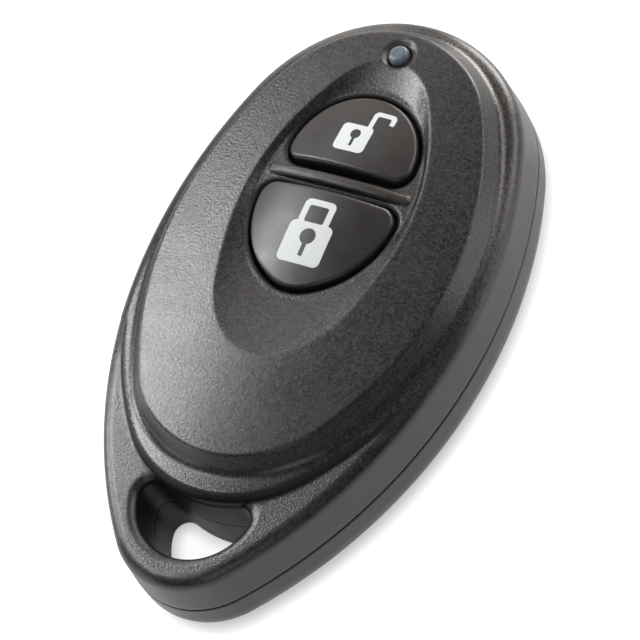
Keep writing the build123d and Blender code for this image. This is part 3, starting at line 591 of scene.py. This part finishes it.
def padlock(name, body, base, size, corner, bar, shackle, hole):
    """A padlock sign: a rounded body with a keyhole and a shackle of bar width.

    base is the body's lower left corner. shackle gives its outer left, right and top edges and where its
    right foot ends, above the body if it is open. hole is the keyhole's x, y and radius, and the width
    and end of its slot.
    """
    left, bottom = base
    width, height = size
    right, top = left + width, bottom + height
    s_left, s_right, s_top, foot_right = shackle
    outer = [(left, bottom), (right, bottom), (right, top)]
    inner = []
    inside = (s_left + bar, s_right - bar, s_top - bar)
    if foot_right <= top:
        outer += [(s_right, top, 0), (s_right, s_top), (s_left, s_top), (s_left, top, 0), (left, top)]
        window = [(inside[0], top), (inside[1], top), (inside[1], inside[2]), (inside[0], inside[2])]
        inner = [rounded(window, BOW_CORNER)]
    else:
        outer += [
            (inside[0], top, 0),
            (inside[0], inside[2], BOW_CORNER),
            (inside[1], inside[2], BOW_CORNER),
            (inside[1], foot_right, BOW_END_CORNER),
            (s_right, foot_right, BOW_END_CORNER),
            (s_right, s_top),
            (s_left, s_top),
            (s_left, top, 0),
            (left, top),
        ]
    printed_sign(name, [rounded(outer, corner), *inner, keyhole(*hole)], body)


padlock(
    "lock_sign",
    "lock_key",
    base=(-2.25, 2.0),
    size=(4.6, 4.25),
    corner=0.6,
    bar=0.64,
    shackle=(-1.65, 1.7, 8.65, 6.0),
    hole=(0.1, 4.85, 0.82, 0.46, 2.8),
)
padlock(
    "unlock_sign",
    "unlock_key",
    base=(-1.95, 14.35),
    size=(3.3, 3.05),
    corner=0.5,
    bar=0.48,
    shackle=(0.55, 2.95, 19.3, 18.1),
    hole=(-0.25, 16.35, 0.53, 0.32, 14.95),
)


# Camera: a long lens, above the wide end's right

# VIEW_SCALE is in pixels per mm at the view's distance, in a picture PICTURE pixels wide
VIEW_YAW = math.radians(30.0)
VIEW_PITCH = math.radians(19.41)
VIEW_ROLL = math.radians(26.19)
VIEW_DISTANCE = 333.3
VIEW_SCALE = 10.5745
VIEW_SLIDE = 0.76
PICTURE = 640
SENSOR = 36.0
NEAR = 0.01
FAR = 10.0


def make_camera():
    """Sets up the camera and returns the direction towards it."""
    yaw = Matrix.Rotation(-VIEW_YAW, 3, "Y")
    pitch = Matrix.Rotation(-VIEW_PITCH, 3, "X")
    roll = Matrix.Rotation(-VIEW_ROLL, 3, "Z")
    turned = roll @ pitch @ yaw
    data = bpy.data.cameras.new("camera")
    data.sensor_width = SENSOR
    data.lens = VIEW_SCALE * VIEW_DISTANCE / PICTURE * SENSOR
    data.clip_start = NEAR
    data.clip_end = FAR
    camera = bpy.data.objects.new("camera", data)
    right, back = Vector(turned[0]), Vector(turned[2])
    place = Vector((0, 0, PART_Z)) + back * VIEW_DISTANCE + right * VIEW_SLIDE
    camera.matrix_world = Matrix.Translation(place * MM) @ turned.transposed().to_4x4()
    bpy.context.scene.collection.objects.link(camera)
    bpy.context.scene.camera = camera
    return back


TO_CAMERA = make_camera()


# Floor, world and lamps

# The floor's reach is in metres. It lies a hair below the fob, so that the two never share a plane
FLOOR_REACH = 3.0
FLOOR_DROP = 0.02
FLOOR_COLOR = (0.3, 0.3, 0.3)
FLOOR_GLOW = 0.97
FLOOR_MIRRORED = 0.8

# The painted shadow round the fob, a darker halo in the floor's glow, which is deepest where the floor's
# openness is under HALO_FULL
HALO_REACH = 1.5
HALO_DEPTH = 0.5
HALO_FULL = 0.3
HALO_SAMPLES = 16

# What the world gives to all but the camera, and the lamps' two colours
WORLD_GLOW = 0.12
WHITE_LIGHT = (1, 1, 1)
WARM_LIGHT = (1.0, 0.96, 0.925)


def seen_ray(tree, gloss):
    """1 for what the camera sees directly or through glass, and gloss for what it sees mirrored."""
    path = tree.nodes.new("ShaderNodeLightPath")
    mirrored = calculate(tree, "MULTIPLY", path.outputs["Is Glossy Ray"], gloss)
    total = calculate(tree, "MAXIMUM", path.outputs["Is Camera Ray"], path.outputs["Is Transmission Ray"])
    return calculate(tree, "MAXIMUM", total, mirrored)


def make_floor():
    """A pale floor that the camera and gloss see nearly white, with a painted shadow where the fob closes
    it in.
    """
    mesh = bpy.data.meshes.new("floor")
    corners = [(-1, -1), (1, -1), (1, 1), (-1, 1)]
    verts = [(x * FLOOR_REACH, y * FLOOR_REACH, -FLOOR_DROP * MM) for x, y in corners]
    mesh.from_pydata(verts, [], [(0, 1, 2, 3)])
    material, tree, shader = new_material("floor", FLOOR_COLOR, roughness=0.9)
    shader.inputs["Specular IOR Level"].default_value = 0.0
    shader.inputs["Emission Color"].default_value = (*WHITE_LIGHT, 1.0)
    openness = tree.nodes.new("ShaderNodeAmbientOcclusion")
    openness.samples = HALO_SAMPLES
    openness.inputs["Distance"].default_value = HALO_REACH * MM
    painted_shadow = ramp(tree, openness.outputs["AO"], 1 - HALO_DEPTH, 1, HALO_FULL, 1)
    seen = calculate(tree, "MULTIPLY", seen_ray(tree, FLOOR_MIRRORED), painted_shadow)
    glow = calculate(tree, "MULTIPLY", seen, FLOOR_GLOW)
    tree.links.new(glow, shader.inputs["Emission Strength"])
    mesh.materials.append(material)
    floor = bpy.data.objects.new("floor", mesh)
    bpy.context.scene.collection.objects.link(floor)


def make_world():
    """White to the camera, and a faint fill for everything else."""
    world = bpy.data.worlds.new("world")
    world.use_nodes = True
    tree = world.node_tree
    sky = tree.nodes["Background"]
    seen = tree.nodes.new("ShaderNodeLightPath").outputs["Is Camera Ray"]
    tree.links.new(mix_color(tree, seen, WARM_LIGHT, WHITE_LIGHT), sky.inputs["Color"])
    tree.links.new(ramp(tree, seen, WORLD_GLOW, 1, 0, 1), sky.inputs["Strength"])
    bpy.context.scene.world = world


def soft_box(name, place, target, size, power, color=WHITE_LIGHT):
    """A soft box at place that shines on target."""
    data = bpy.data.lights.new(name, "AREA")
    data.shape = "RECTANGLE"
    data.size, data.size_y = (side * MM for side in size)
    data.energy = power
    data.color = color
    lamp = bpy.data.objects.new(name, data)
    facing = (place - target).to_track_quat("Z", "Y").to_matrix().to_4x4()
    lamp.matrix_world = Matrix.Translation(place * MM) @ facing
    bpy.context.scene.collection.objects.link(lamp)


def from_side(azimuth, elevation, distance):
    """A place round the fob, by compass angle from +X, height angle and distance."""
    a, e = math.radians(azimuth), math.radians(elevation)
    return Vector((math.cos(e) * math.cos(a), math.cos(e) * math.sin(a), math.sin(e))) * distance


# The key boxes stand where the plateau's lower left mirrors them to the camera. CROWN_RADIUS is the
# plateau's curve across the case
CROWN_RADIUS = 135.0
BRIGHT_SPOT = Vector((-11.0, -5.0, 12.5))
BRIGHT_TILT = Vector((BRIGHT_SPOT.x / CROWN_RADIUS, 0, 1)).normalized()
MIRRORED = 2 * BRIGHT_TILT.dot(TO_CAMERA) * BRIGHT_TILT - TO_CAMERA
BOX_SIDE = MIRRORED.cross(Vector((0, 0, 1))).normalized()
BOX_LIFT = BOX_SIDE.cross(MIRRORED).normalized()
BOX_DISTANCE = 250.0
SIDE_DISTANCE = 400.0
SIDE_SIZE = (200, 200)

make_floor()
make_world()

# Name, steps along and up, size, and power
for name, along, up, size, power in (
    ("key_box", -36, 0, (90, 60), 0.275),
    ("low_key_box", -150, -100, (70, 70), 0.24),
    ("high_key_box", -100, 100, (60, 60), 0.1),
):
    place = BRIGHT_SPOT + MIRRORED * BOX_DISTANCE + BOX_SIDE * along + BOX_LIFT * up
    soft_box(name, place, BRIGHT_SPOT, size, power)

# Name, compass angle, height angle, and power
for name, azimuth, elevation, power in (
    ("back_box", 90, 12, 1.4),
    ("back_left_box", 135, 12, 0.25),
    ("back_high_box", 120, 40, 0.16),
    ("back_right_box", 60, 38, 0.42),
    ("right_box", 30, 12, 0.22),
    ("front_right_box", 300, 40, 0.13),
    ("front_left_box", 225, 12, 0.13),
    ("loop_box", 198, 58, 0.12),
):
    place = from_side(azimuth, elevation, SIDE_DISTANCE)
    soft_box(name, place, Vector((0, 0, 0)), SIDE_SIZE, power, WARM_LIGHT)

bpy.context.scene.view_settings.view_transform = "Standard"
